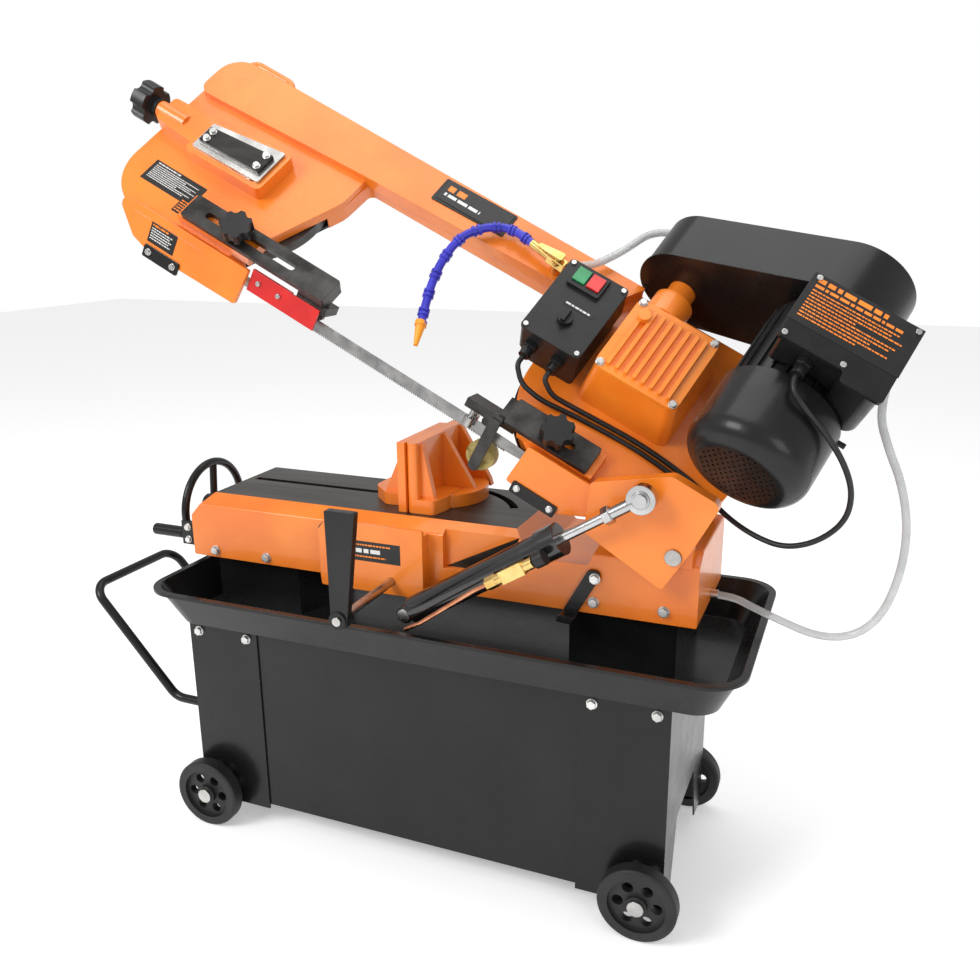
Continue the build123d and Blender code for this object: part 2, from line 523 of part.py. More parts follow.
WHEEL_V = BAND_WHEEL_R
REAR_LEG_Y = BED_BACK + 1.5
TENSION_V, TENSION_W = 166.0, 42.0
PAD_W = 56.0
ARM_L_W, ARM_R_W = 50.0, 32.0
SLIDE_X_ROOM = (-996.0, -886.0)
SLIDE_V_ROOM = (130.0 - GAP, 186.0 + GAP)
T_FROM_V = (Pos(0, BLADE_Y, BLADE_Z) * Rot(HEAD_TILT, 0, 0)).inverse()
keep("head_casting", HEAD_T * head_casting())

cover = [(-1094, -9, 84), (-848, -9, 64), (-762, 198, 54), (-757, 268, 12), (-350, 270, 26), (-338, -9, 134),
         (4, -9, 134), (2, 300, 90), (-70, 330, 60), (-1090, 330, 40)]
keep("blade_cover", HEAD_T * (slab(cover, HEAD_LIP - 6, HEAD_LIP) -
     T_FROM_V * block(-48, 22, REAR_LEG_Y - 3, REAR_LEG_Y + 28, 590, 850)))


def band_wheel(x, bore):
    """Cast wheel: rim, web with five openings, hub."""
    half = BAND_WHEEL_W / 2
    body = rod((x, WHEEL_V, -half), (x, WHEEL_V, half), BAND_WHEEL_R)
    for w0, w1 in ((-half - 1, -3), (3, half + 1)):
        body -= ring((x, WHEEL_V, w0), (x, WHEEL_V, w1), BAND_WHEEL_R - 12, 26)
    for i in range(5):
        a = 2 * pi * i / 5
        cx, cv = x + 82 * cos(a), WHEEL_V + 82 * sin(a)
        body -= rod((cx, cv, -half - 1), (cx, cv, half + 1), 30)
    return body - rod((x, WHEEL_V, -half - 1), (x, WHEEL_V, half + 1), bore)


SHAFT_IN = 60.0       # the drive shaft ends inside the gearbox
keep("idler_wheel", HEAD_T * band_wheel(IDLER_X, 10 + FIT))
drive = band_wheel(DRIVE_X, 11.9) + rod((DRIVE_X, WHEEL_V, -10), (DRIVE_X, WHEEL_V, SHAFT_IN), 12)
keep("drive_wheel", HEAD_T * drive)

slide_block = block(SLIDE_X_ROOM[0] + 3, SLIDE_X_ROOM[1] - 7, 130, 186, FACE_LEFT + GAP, PAD_W - GAP)
slide_block += rod((IDLER_X, WHEEL_V, -10), (IDLER_X, WHEEL_V, FACE_LEFT + 2), 10)
slide_block -= rod((-1000, TENSION_V, TENSION_W), (-930, TENSION_V, TENSION_W), 6 + FIT)
keep("idler_slide", HEAD_T * slide_block)
knob = star_knob((-1119 - GAP, TENSION_V, TENSION_W), (-1, 0, 0), 33, 38, 5)
keep("tension_knob", HEAD_T * (knob + rod((-1125, TENSION_V, TENSION_W), (-940, TENSION_V, TENSION_W), 6)))
plate = slab([(-1012, 128, 3), (-876, 131, 3), (-876, 203, 3), (-1012, 183, 3)], PAD_W, PAD_W + 5)
keep("tracking_plate", HEAD_T * plate, HEAD_T * slab([(-1006, 140, 2), (-884, 144, 2), (-884, 184, 2), (-1006, 172, 2)],
                                                   PAD_W + 5, PAD_W + 11))


def blade():
    """Endless blade: round both wheels, lower run twisted upright between the guides."""
    r0 = BAND_WHEEL_R + 0.02
    r1 = r0 + BLADE_T
    half = BLADE_W / 2
    arcs = ring((IDLER_X, WHEEL_V, -half), (IDLER_X, WHEEL_V, half), r1, r0) & block(-1200, IDLER_X, -10, 400, -20, 20)
    arcs += ring((DRIVE_X, WHEEL_V, -half), (DRIVE_X, WHEEL_V, half), r1, r0) & block(DRIVE_X, 100, -10, 400, -20, 20)
    arcs += block(IDLER_X, DRIVE_X, WHEEL_V + r0, WHEEL_V + r1, -half, half)
    return arcs


def blade_section(x, angle):
    """Blade section across X, its width turned from the wheel axis towards level-head vertical."""
    a = radians(angle)
    plane = Plane((x, BLADE_LOW_V, 0), x_dir=(0, sin(a), cos(a)), z_dir=(1, 0, 0))
    return plane * Rectangle(BLADE_W, BLADE_T)


def twist_run(x0, x1, turn0, turn1, steps=4):
    """Blade stretch that turns about its own centre line."""
    parts = [(x0 + (x1 - x0) * i / steps, turn0 + (turn1 - turn0) * i / steps) for i in range(steps + 1)]
    return loft([blade_section(x, a) for x, a in parts], ruled=True)


BLADE_LOW_V = -0.02 - BLADE_T / 2
GUIDE_L, GUIDE_R = -688.0, -366.0      # side bearings of the two guides
FLAT = 45.0           # the blade leaves each wheel flat for this length
ARM_TRAVEL = 72.0     # upright stretch of the blade left of the left guide
low = twist_run(IDLER_X + FLAT, GUIDE_L - ARM_TRAVEL, 0, HEAD_TILT) + twist_run(GUIDE_R + 40, DRIVE_X - FLAT, HEAD_TILT, 0)
low += extrude(blade_section(IDLER_X, 0), FLAT) + extrude(blade_section(DRIVE_X - FLAT, 0), FLAT)
low += extrude(blade_section(GUIDE_L - ARM_TRAVEL, HEAD_TILT), GUIDE_R + 40 - GUIDE_L + ARM_TRAVEL)
keep("blade", HEAD_T * (blade() + low))


# ---- blade guides ----
CUT_Y = BLADE_Y + BLADE_LOW_V * cos(radians(HEAD_TILT))
BEAR_R = 8.5
BEAR_OFF = BLADE_T / 2 + GAP + BEAR_R


def guide_arm(x0, x1, slot0, slot1, seat):
    """Flat steel arm with the long slot of its clamp stud."""
    bar = slab([(x0, 12, 3), (x1, 12, 3), (x1, 58, 3), (x0, 58, 3)], seat + GAP, seat + 11)
    slot = slab([(slot0, 29, 5.9), (slot1, 29, 5.9), (slot1, 41, 5.9), (slot0, 41, 5.9)], seat - 1, seat + 12)
    return bar - slot


def guide_holder(x0, x1, arm0, arm1, seat, deep):
    """Block over the blade with two bearing pins, joined to the arm's underside."""
    top = seat + GAP
    neck = slab([(arm0, 12, 1), (arm1, 12, 1), (arm1, 58, 1), (arm0, 58, 1)], top - deep, top)
    head = T_FROM_V * block(x0, x1, CUT_Y - 18, CUT_Y + 18, 642, 656)
    return head + neck


def bearing_set(x, back_x):
    """Two side bearings on upright pins and one behind the blade on a level pin."""
    pins, races = None, []
    for side in (-1, 1):
        y = CUT_Y + side * BEAR_OFF
        pin = rod((x, y, 645), (x, y, 611), 3.5)
        pins = pin if pins is None else pins + pin
        races.append(ring((x, y, 628), (x, y, 613), BEAR_R, 3.5 + FIT))
    z = BLADE_TOP + GAP + 7
    pins += rod((back_x, CUT_Y - 8, z), (back_x, CUT_Y + 8, z), 3)
    for y0 in (CUT_Y - 8, CUT_Y + 5):
        pins += block(back_x - 5, back_x + 5, y0, y0 + 3, z - 4, 645)
    races.append(ring((back_x, CUT_Y - 4, z), (back_x, CUT_Y + 4, z), 7, 3 + FIT))
    return T_FROM_V * pins, [T_FROM_V * r for r in races]


BLADE_TOP = BLADE_Z + BLADE_LOW_V * sin(radians(HEAD_TILT)) + BLADE_W / 2
for tag, x, back, span, arm_span, seat, deep in (
        ("left", GUIDE_L, GUIDE_L + 26, (-703, -645), (-700, -652), ARM_L_W, 20),
        ("right", GUIDE_R, GUIDE_R + 24, (-380, -316), (-328, -296), ARM_R_W, ARM_R_W - FACE_RIGHT)):
    pins, races = bearing_set(x, back)
    holder = guide_holder(*span, *arm_span, seat, deep) + pins
    keep(tag + "_guide", HEAD_T * holder, *[HEAD_T * r for r in races])
KNOB_L, KNOB_R, KNOB_V = -833.0, -236.0, 35.0
keep("left_guide_arm", HEAD_T * guide_arm(-935, -690 + 40, -900, -722, ARM_L_W))
keep("right_guide_arm", HEAD_T * guide_arm(-314, -170, -262, -204, ARM_R_W))
for tag, x, seat in (("left", KNOB_L, ARM_L_W), ("right", KNOB_R, ARM_R_W)):
    grip = star_knob((x, KNOB_V, seat + 11 + GAP), (0, 0, 1), 26, 26)
    keep(tag + "_guide_knob", HEAD_T * (grip + rod((x, KNOB_V, seat + 1), (x, KNOB_V, seat + 14), 5)))

guard = block(-787, -655, CUT_Y - 21, CUT_Y - 18, 613, 648) + block(-787, -710, CUT_Y - 21, CUT_Y - 15.5, 646, 649)
keep("blade_guard", HEAD_V * guard)

BRUSH_X, BRUSH_Z, BRUSH_R = -325.0, 583.0, 23.5
strap = wall([(BRUSH_X - 9, 650, 3), (BRUSH_X + 9, 650, 3), (BRUSH_X + 9, 560, 8), (BRUSH_X - 9, 560, 8)],
             CUT_Y - 21, CUT_Y - 18)
strap += rod((BRUSH_X, CUT_Y - 21, BRUSH_Z), (BRUSH_X, CUT_Y + 12, BRUSH_Z), 4)
keep("right_guide", HEAD_V * strap)
keep("chip_brush", HEAD_V * ring((BRUSH_X, CUT_Y - 9, BRUSH_Z), (BRUSH_X, CUT_Y + 9, BRUSH_Z), BRUSH_R, 4 + FIT))


# ---- gearbox ----
def tapered(foot, top, w0, w1, r):
    """Box with leaning sides between two rounded rectangles given as (x0, x1, v0, v1)."""
    faces = []
    for (x0, x1, v0, v1), w in ((foot, w0), (top, w1)):
        faces.append(Pos((x0 + x1) / 2, (v0 + v1) / 2, w) * RectangleRounded(x1 - x0, v1 - v0, r))
    return loft(faces)


BOX_TOP = 98.0
box = tapered((-256, -98, 122, 283), (-246, -108, 136, 274), FACE_RIGHT, BOX_TOP, 16)
box += rod((WORM_X, 262, WORM_W), (WORM_X, 312, WORM_W), 32)
box -= tapered((-244, -110, 136, 268), (-238, -116, 146, 264), FACE_RIGHT + 6, BOX_TOP + 1, 10)
box -= rod((WORM_X, 262, WORM_W), (WORM_X, 313, WORM_W), 11 + FIT)
box += (rod((DRIVE_X, WHEEL_V, FACE_RIGHT), (DRIVE_X, WHEEL_V, SHAFT_IN + 4), 18)
        & tapered((-256, -98, 122, 283), (-246, -108, 136, 274), FACE_RIGHT, BOX_TOP, 16))
box -= rod((DRIVE_X, WHEEL_V, FACE_RIGHT - 1), (DRIVE_X, WHEEL_V, SHAFT_IN + GAP), 12 + FIT)
box -= block(-400, 0, 0, 400, BOX_TOP, 200) & block(-246, -108, 136, 274, BOX_TOP, 200)
keep("gearbox", HEAD_T * box)
lid = Pos(-177, 205, BOX_TOP) * extrude(RectangleRounded(138, 138, 14), 8)
for i in range(8):
    x = -227 + i * (100 / 7)
    lid += slab([(x - 3, 146, 2.4), (x + 3, 146, 2.4), (x + 3, 262, 2.4), (x - 3, 262, 2.4)], BOX_TOP + 7, BOX_TOP + 14)
lid += rod((-224, 244, BOX_TOP + 7), (-224, 244, BOX_TOP + 20), 10)
keep("gearbox_cover", HEAD_T * lid)

worm = rod((WORM_X, 152, WORM_W), (WORM_X, 424, WORM_W), 11)
PULLEYS = (58.0, 50.0, 42.0, 34.0)
STEP_V = 352.0
for i, r in enumerate(PULLEYS):
    worm += rod((WORM_X, STEP_V + 17 * i, WORM_W), (WORM_X, STEP_V + 17 * i + 17, WORM_W), r)
motor_shaft = rod((MOTOR_X, 84, MOTOR_W), (MOTOR_X, 424, MOTOR_W), 9.5)
for i, r in enumerate(reversed(PULLEYS)):
    motor_shaft += rod((MOTOR_X, STEP_V + 17 * i, MOTOR_W), (MOTOR_X, STEP_V + 17 * i + 17, MOTOR_W), r)
BELT_STEP = 1
belt_v = STEP_V + 17 * BELT_STEP + 3
r_worm, r_motor = PULLEYS[BELT_STEP] + 0.15, PULLEYS[2 - BELT_STEP + 1] + 0.15


def pulley_loop(small, big):
    """Outline round two pulleys, in the x-w plane."""
    edges = (Pos(WORM_X, WORM_W) * Circle(small)).edges() + (Pos(MOTOR_X, MOTOR_W) * Circle(big)).edges()
    return make_hull(edges)


def across(face, v0, v1):
    """Solid from an x-w outline, from v0 to v1."""
    return extrude(Plane.XZ.offset(-v1) * face, v1 - v0)


keep("worm_shaft", HEAD_T * worm)
belt = across(pulley_loop(r_worm + 8, r_motor + 8), belt_v, belt_v + 11)
keep("drive_belt", HEAD_T * (belt - across(pulley_loop(r_worm, r_motor), belt_v - 1, belt_v + 12)))
far = BELT_PLATE_V + BELT_DEPTH
hood = across(pulley_loop(72, 82), BELT_PLATE_V + 3, far) - across(pulley_loop(69, 79), BELT_PLATE_V + 2, far - 3)
back = across(pulley_loop(75, 85), BELT_PLATE_V, BELT_PLATE_V + 3)
for x, w, r in ((WORM_X, WORM_W, 13), (MOTOR_X, MOTOR_W, 13)):
    back -= rod((x, BELT_PLATE_V - 1, w), (x, BELT_PLATE_V + 4, w), r)
keep("belt_cover", HEAD_T * hood, HEAD_T * back)
keep("gearbox", HEAD_T * (ring((WORM_X, 312, WORM_W), (WORM_X, BELT_PLATE_V, WORM_W), 22, 14)))


# ---- motor ----
BODY_V = (172.0, 318.0)
body = rod((MOTOR_X, BODY_V[0], MOTOR_W), (MOTOR_X, BODY_V[1], MOTOR_W), MOTOR_R - 4)
for i in range(24):
    a = 2 * pi * i / 24
    fin = block(MOTOR_R - 6, MOTOR_R, BODY_V[0] + 14, BODY_V[1] - 8, -1.5, 1.5)
    body += Pos(MOTOR_X, 0, MOTOR_W) * Rot(0, degrees(a), 0) * fin
body += rod((MOTOR_X, BODY_V[0], MOTOR_W), (MOTOR_X, BODY_V[0] + 12, MOTOR_W), 83)
body += rod((MOTOR_X, BODY_V[1], MOTOR_W), (MOTOR_X, BELT_PLATE_V, MOTOR_W), 62)
body += block(MOTOR_X - 58, MOTOR_X + 58, 196, 306, 84, 110)
for v in (206.0, 280.0):
    body += block(-62, 12, v, v + 16, FACE_RIGHT, 85)
body -= rod((MOTOR_X, 100, MOTOR_W), (MOTOR_X, 400, MOTOR_W), 9.5 + FIT)
body += rod((MOTOR_X + 78, 186, MOTOR_W), (MOTOR_X + 98, 186, MOTOR_W), 4)
keep("motor", HEAD_T * body)
FAN_V = 66.0
fan_cover = rod((MOTOR_X, FAN_V, MOTOR_W), (MOTOR_X, BODY_V[0] + 10, MOTOR_W), 87)
front_edge = fan_cover.edges().filter_by(GeomType.CIRCLE).sort_by(Axis.Y)[0]
fan_cover = fillet(front_edge, 32)
inner = rod((MOTOR_X, FAN_V + 3, MOTOR_W), (MOTOR_X, BODY_V[0] + 11, MOTOR_W), 83)
inner = fillet(inner.edges().filter_by(GeomType.CIRCLE).sort_by(Axis.Y)[0], 28)
fan_cover -= inner
for i in range(-6, 7):
    for j in range(-6, 7):
        px, pw = 9.6 * i + 4.8 * (j % 2), 8.6 * j
        if hypot(px, pw) < 54:
            fan_cover -= rod((MOTOR_X + px, FAN_V - 1, MOTOR_W + pw), (MOTOR_X + px, FAN_V + 4, MOTOR_W + pw), 2.2)
keep("motor", HEAD_T * fan_cover)
fan = rod((MOTOR_X, 112, MOTOR_W), (MOTOR_X, 116, MOTOR_W), 66) + rod((MOTOR_X, 100, MOTOR_W), (MOTOR_X, 130, MOTOR_W), 16)
for i in range(8):
    fan += Pos(MOTOR_X, 0, MOTOR_W) * Rot(0, 45 * i, 0) * block(15, 64, 116, 150, -1.5, 1.5)
keep("motor_shaft", HEAD_T * (motor_shaft + fan))

LID_W = 292.0
hull = rod((MOTOR_X, 0, MOTOR_W), (MOTOR_X, 400, MOTOR_W), MOTOR_R)
base = slab([(-38, 200, 6), (56, 200, 6), (56, 302, 6), (-38, 302, 6)], 240, LID_W)
cap = slab([(50, 185, 14), (107, 185, 20), (107, 304, 14), (50, 304, 14)], 200, LID_W)
keep("terminal_box", HEAD_T * (base + cap - hull - slab([(-33, 206, 4), (50, 206, 4), (50, 296, 4), (-33, 296, 4)], 256, LID_W + 1)),
     HEAD_T * slab([(-41, 196, 4), (50, 196, 4), (52, 180, 4), (109, 180, 6), (109, 306, 6), (-41, 306, 6)], LID_W, LID_W + 6))


# ---- switch box ----
sx0, sx1, sv0, sv1, sw = -369.0, -268.0, 133.0, 278.0, 94.0
case = slab([(sx0, sv0, 6), (sx1, sv0, 6), (sx1, sv1, 6), (sx0, sv1, 6)], FACE_SPINE, sw)
case += slab([(sx0 + 3, sv0, 6), (sx1 - 3, sv0, 6), (sx1 - 3, 258, 2), (sx0 + 3, 258, 2)], FACE_RIGHT, FACE_SPINE + 1)
case -= slab([(sx0 + 5, sv0 + 5, 3), (sx1 - 5, sv0 + 5, 3), (sx1 - 5, sv1 - 5, 3), (sx0 + 5, sv1 - 5, 3)], FACE_SPINE + 6, sw + 1)
lid = slab([(sx0 - 1, sv0 - 1, 7), (sx1 + 1, sv0 - 1, 7), (sx1 + 1, sv1 + 1, 7), (sx0 - 1, sv1 + 1, 7)], sw, sw + 5)
lid += slab([(-354, 234, 3), (-298, 234, 3), (-298, 275, 3), (-354, 275, 3)], sw + 4, sw + 11)
BUTTONS = (("start_button", -338.5), ("stop_button", -313.5))
for name, x in BUTTONS:
    lid -= block(x - 11, x + 11, 242, 268, sw - 1, sw + 12)
    cap = block(x - 11 + GAP, x + 11 - GAP, 242 + GAP, 268 - GAP, sw + 1, sw + 14)
    keep(name, HEAD_T * cap)
lid -= rod((-320, 180, sw - 1), (-320, 180, sw + 6), 4 + FIT)
keep("switch_box", HEAD_T * case, HEAD_T * lid)
knob = rod((-320, 180, sw - 8), (-320, 180, sw + 8), 4) + rod((-320, 180, sw + 5 + GAP), (-320, 180, sw + 12), 12)
keep("coolant_switch", HEAD_T * (knob + block(-323, -317, 169, 191, sw + 11, sw + 19)))


GLAND_LEN = 24.0


def gland(seat, axis):
    """Cable gland: hex base and nut; the cable starts at its end face."""
    p, n = Vector(*seat), Vector(*axis)
    return hexagon(p, p + n * 9, 20) + rod(p + n * 8, p + n * GLAND_LEN, 9)


GLANDS = ((-345.0, sv0, 66.0), (-298.0, sv0, 66.0))
MOTOR_GLAND = (6.0, 200.0, 270.0)
keep("cable_glands", *[HEAD_T * gland(g, (0, -1, 0)) for g in (*GLANDS, MOTOR_GLAND)])


# ---- coolant valve and jointed hose on the spine ----
FLEX = [(-449, 290, 62), (-475, 294.2, 62), (-500, 292, 60), (-524, 276, 60), (-545, 246, 58), (-551, 216, 54),
        (-549, 180, 48), (-541, 146, 42), (-529, 114, 38), (-516, 84, 36)]
valve = rod((-395, 282, FACE_SPINE), (-395, 282, 70), 10) + hexagon((-412, 284, 62), (-380, 281, 62), 20)
valve += rod((-388, 282.3, 62), (-372, 293, 62), 6) + rod((-412, 284, 62), (-449, 290, 62), 6.8)
valve += rod((-395, 282, 70), (-395, 282, 80), 5) + slab([(-386, 275, 4), (-386, 291, 4), (-432, 286, 4), (-432, 278, 4)], 78, 82)
hose = tube(FLEX, arc_radii(FLEX, 0.3), 6.8)
for a, b in zip(FLEX, FLEX[1:]):
    run = Vector(*b) - Vector(*a)
    for share in (0.32, 0.56):
        hose += rod(Vector(*a) + run * share, Vector(*a) + run * (share + 0.13), 9)
tip = Vector(*FLEX[-1])
lean = (tip - Vector(*FLEX[-2])).normalized()
nozzle_plane = Plane(tip, z_dir=lean)
nozzle = extrude(nozzle_plane * Circle(9.5), 8) + loft([nozzle_plane.offset(7) * Circle(8), nozzle_plane.offset(42) * Circle(3.5)])
keep("coolant_hose", HEAD_T * valve, HEAD_T * hose, HEAD_T * nozzle)

# ---- black plates and screws on the head ----
keep("black_plates", HEAD_V * wall([(-983, 570, 3), (-910, 570, 3), (-910, 591, 3), (-983, 591, 3)], GUARD_SKIRT_Y - 3, GUARD_SKIRT_Y),
     HEAD_V * wall([(-258, 566, 3), (-180, 566, 3), (-180, 585, 3), (-258, 585, 3)], SKIRT_Y - 3, SKIRT_Y),
     HEAD_T * slab([(-640, 281, 3), (-502, 285, 3), (-502, 333, 3), (-640, 330, 3)], FACE_SPINE, FACE_SPINE + 1.5))
for x, v in ((-238, 144), (-116, 144), (-116, 267), (-238, 267)):
    keep("head_screws", HEAD_T * bolt((x, v, BOX_TOP + 8), (0, 0, 1), 6))
for x, v in ((-996, 149), (-894, 152), (-894, 177), (-996, 165)):
    keep("head_screws", HEAD_T * bolt((x, v, PAD_W + 11), (0, 0, 1), 6))
for x, v in ((-363, 139), (-274, 139), (-363, 272), (-274, 272)):
    keep("head_screws", HEAD_T * rod((x, v, sw + 5), (x, v, sw + 8), 4))
for x, v in ((-35, 202), (46, 202), (-35, 300), (103, 300)):
    keep("head_screws", HEAD_T * rod((x, v, LID_W + 6), (x, v, LID_W + 9), 4))
for x, y, z in ((-972, GUARD_SKIRT_Y, 581), (-921, GUARD_SKIRT_Y, 581), (-248, SKIRT_Y, 576), (-190, SKIRT_Y, 576)):
    keep("head_screws", HEAD_V * bolt((x, y - 3, z), (0, -1, 0), 5))
for x in (-770, -730):
    keep("head_screws", HEAD_V * rod((x, CUT_Y - 21, 632), (x, CUT_Y - 24, 632), 4))

# ---- cords: routes chosen by hand ----
CORD_R = 4.0
HOSE_R = 6.0
lead_a = [(-345, sv0 - GLAND_LEN, 66), (-345, 92, 66), (-326, 76, 50), (-290, 78, 32), (-250, 88, 23), (-196, 93, 22.4),
          (-135, 96, 22.5), (-73, 92, 22.4), (-30, 86, 22.5), (2, 76, 22.4)]
lead_b = [(-298, sv0 - GLAND_LEN, 66), (-298, 94, 66), (-279, 88, 45), (-247, 98, 28), (-196, 104, 22.6),
          (-135, 107, 22.4), (-73, 103, 22.6), (-30, 97, 22.6), (8, 84, 28)]
loop = [(8, 84, 28), (36, 74.4, 31.2), (80, 66, 44), (120, 66, 62), (150, 84, 92), (164, 112, 128), (150, 132, 166),
        (118, 140, 206), (74, 142, 244), (32, 144, 267), (6, 158, 272), (6, 200 - GLAND_LEN, 270)]
supply = [(470, 0, 512), (494, 0, 512), (522, 0, 500), (560, 0, 486), (620, 0, 466), (672, 0, 474), (708, 0, 512), (727, 0, 580),
          (730, 0, 650), (716, 0, 716), (692, 0, 768)]
behind = [(132, 300, 112), (116, 380, 112), (78, 440, 104), (0, 456, 96), (-90, 456, 84), (-180, 452, 72),
          (-262, 446, 62), (-306, 424, 58), (-320, 376, 58), (-334, 338, 60), (-350, 307.7, 62), (-372, 293, 62)]


def machine_points(points):
    """Points given in the head's wheel frame, as machine points."""
    return [tuple((HEAD_T * Pos(*p)).position) for p in points]


for route in (lead_a, lead_b):
    route = machine_points(route)
    keep("switch_leads", tube(route, arc_radii(route), CORD_R))
for name, route, radius in (("motor_cord", machine_points(loop), CORD_R),
                            ("clear_hose", supply + machine_points(behind), HOSE_R)):
    radii = arc_radii(route)
    keep(name, tube(route, radii, radius))
    runs = [(Vector(*b) - Vector(*a)).length for a, b in zip(route, route[1:])]
    print(name, "radii", [round(r) for r in radii], "runs", [round(r) for r in runs], "volume",
          round(NODES[name][0].volume), "expected", round(FilletPolyline(*route, radius=radii).length * pi * radius ** 2))
keep("base_bolts", rod((BED_RIGHT, 0, 512), (470, 0, 512), 8))

for name, solids in NODES.items():
    solids = [Pos(0, ORIGIN_Y, 0) * solid for solid in solids]
    shape = solids[0] if len(solids) == 1 else Compound(children=list(solids))
    export_step(shape, f"parts/{name}.step")
print(len(NODES), "nodes")
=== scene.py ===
"""Looks of the horizontal metal-cutting band saw: finishes, hanging lines, printed plates and studio.

Row frame in metres: +X along the machine towards the head's hinge, -Y towards the operator, +Z up.
"""
import math

import bpy
import numpy as np
from mathutils import Matrix, Vector


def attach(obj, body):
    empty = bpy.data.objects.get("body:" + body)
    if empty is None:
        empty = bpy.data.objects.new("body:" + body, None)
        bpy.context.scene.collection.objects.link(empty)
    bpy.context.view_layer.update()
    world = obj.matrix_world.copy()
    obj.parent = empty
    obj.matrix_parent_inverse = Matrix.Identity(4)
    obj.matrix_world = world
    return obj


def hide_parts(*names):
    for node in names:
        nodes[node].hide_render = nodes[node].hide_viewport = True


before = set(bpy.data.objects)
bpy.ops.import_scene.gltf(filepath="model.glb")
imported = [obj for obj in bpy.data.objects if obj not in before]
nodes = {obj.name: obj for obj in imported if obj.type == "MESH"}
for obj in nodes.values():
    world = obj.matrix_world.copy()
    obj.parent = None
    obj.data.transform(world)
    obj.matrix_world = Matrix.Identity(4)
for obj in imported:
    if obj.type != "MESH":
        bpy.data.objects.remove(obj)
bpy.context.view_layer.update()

scene = bpy.context.scene

# ---- bed casting ----
# Grey iron casting under thick orange enamel, which keeps the sand's pebbled skin.
# The table's top is left bare and planed, and has gone dark brown with oil.
wear = bpy.data.node_groups.new("wear", "ShaderNodeTree")
for label, kind, value in (("Scale", "NodeSocketFloat", 1.0), ("Stretch", "NodeSocketVector", (1, 1, 1)),
                           ("Dark", "NodeSocketColor", (0, 0, 0, 1)), ("Light", "NodeSocketColor", (1, 1, 1, 1)),
                           ("Rough Low", "NodeSocketFloat", 0.2), ("Rough High", "NodeSocketFloat", 0.4),
                           ("Grain", "NodeSocketFloat", 0.1), ("Pebble", "NodeSocketFloat", 0.0)):
    socket = wear.interface.new_socket(label, in_out="INPUT", socket_type=kind)
    socket.default_value = value
for label, kind in (("Color", "NodeSocketColor"), ("Roughness", "NodeSocketFloat"), ("Normal", "NodeSocketVector")):
    wear.interface.new_socket(label, in_out="OUTPUT", socket_type=kind)
inside = wear.nodes.new("NodeGroupInput")
outside = wear.nodes.new("NodeGroupOutput")
place = wear.nodes.new("ShaderNodeTexCoord")
stretched = wear.nodes.new("ShaderNodeVectorMath")
stretched.operation = "MULTIPLY"
wear.links.new(place.outputs["Object"], stretched.inputs[0])
wear.links.new(inside.outputs["Stretch"], stretched.inputs[1])
scaled = wear.nodes.new("ShaderNodeVectorMath")
scaled.operation = "SCALE"
wear.links.new(stretched.outputs[0], scaled.inputs[0])
wear.links.new(inside.outputs["Scale"], scaled.inputs["Scale"])
noises = {}
for label, scale, detail in (("broad", 9, 6), ("grain", 420, 3), ("pebble", 130, 2), ("smear", 28, 5)):
    noises[label] = wear.nodes.new("ShaderNodeTexNoise")
    noises[label].inputs["Scale"].default_value = scale
    noises[label].inputs["Detail"].default_value = detail
    wear.links.new(scaled.outputs[0], noises[label].inputs["Vector"])
spread = wear.nodes.new("ShaderNodeMapRange")
spread.inputs["From Min"].default_value = 0.35
spread.inputs["From Max"].default_value = 0.65
wear.links.new(noises["broad"].outputs["Fac"], spread.inputs["Value"])
blend = wear.nodes.new("ShaderNodeMix")
blend.data_type = "RGBA"
wear.links.new(spread.outputs[0], blend.inputs[0])
wear.links.new(inside.outputs["Dark"], blend.inputs[6])
wear.links.new(inside.outputs["Light"], blend.inputs[7])
wear.links.new(blend.outputs[2], outside.inputs["Color"])
gloss = wear.nodes.new("ShaderNodeMix")
wear.links.new(noises["smear"].outputs["Fac"], gloss.inputs[0])
wear.links.new(inside.outputs["Rough Low"], gloss.inputs[2])
wear.links.new(inside.outputs["Rough High"], gloss.inputs[3])
wear.links.new(gloss.outputs[0], outside.inputs["Roughness"])
edge = wear.nodes.new("ShaderNodeBevel")
edge.samples = 4
edge.inputs["Radius"].default_value = 0.0015
relief = edge
for label, amount, depth in (("pebble", "Pebble", 0.0012), ("grain", "Grain", 0.0005)):
    bump = wear.nodes.new("ShaderNodeBump")
    bump.inputs["Distance"].default_value = depth
    wear.links.new(inside.outputs[amount], bump.inputs["Strength"])
    wear.links.new(noises[label].outputs["Fac"], bump.inputs["Height"])
    wear.links.new(relief.outputs[0], bump.inputs["Normal"])
    relief = bump
wear.links.new(relief.outputs[0], outside.inputs["Normal"])


def coating(name, dark, light, rough, scale=1.0, grain=0.1, pebble=0.0, metal=0.0, coat=0.0, shine=0.5,
            along=(1, 1, 1)):
    """Surface finish: two tones mottled by noise, a gloss range, fine grain and cast pebbling as bumps."""
    material = bpy.data.materials.new(name)
    material.use_nodes = True
    tree = material.node_tree
    shader = tree.nodes["Principled BSDF"]
    use = tree.nodes.new("ShaderNodeGroup")
    use.node_tree = wear
    for label, value in (("Scale", scale), ("Stretch", along), ("Dark", (*dark, 1)), ("Light", (*light, 1)),
                         ("Rough Low", rough[0]), ("Rough High", rough[1]), ("Grain", grain), ("Pebble", pebble)):
        use.inputs[label].default_value = value
    for output, socket in (("Color", "Base Color"), ("Roughness", "Roughness"), ("Normal", "Normal")):
        tree.links.new(use.outputs[output], shader.inputs[socket])
    shader.inputs["Metallic"].default_value = metal
    shader.inputs["Coat Weight"].default_value = coat
    shader.inputs["Coat Roughness"].default_value = 0.06
    shader.inputs["Specular IOR Level"].default_value = shine
    return material


def finish(material, *names):
    """Gives each named piece's own faces one finish."""
    for name in names:
        nodes[name].data.materials.clear()
        nodes[name].data.materials.append(material)


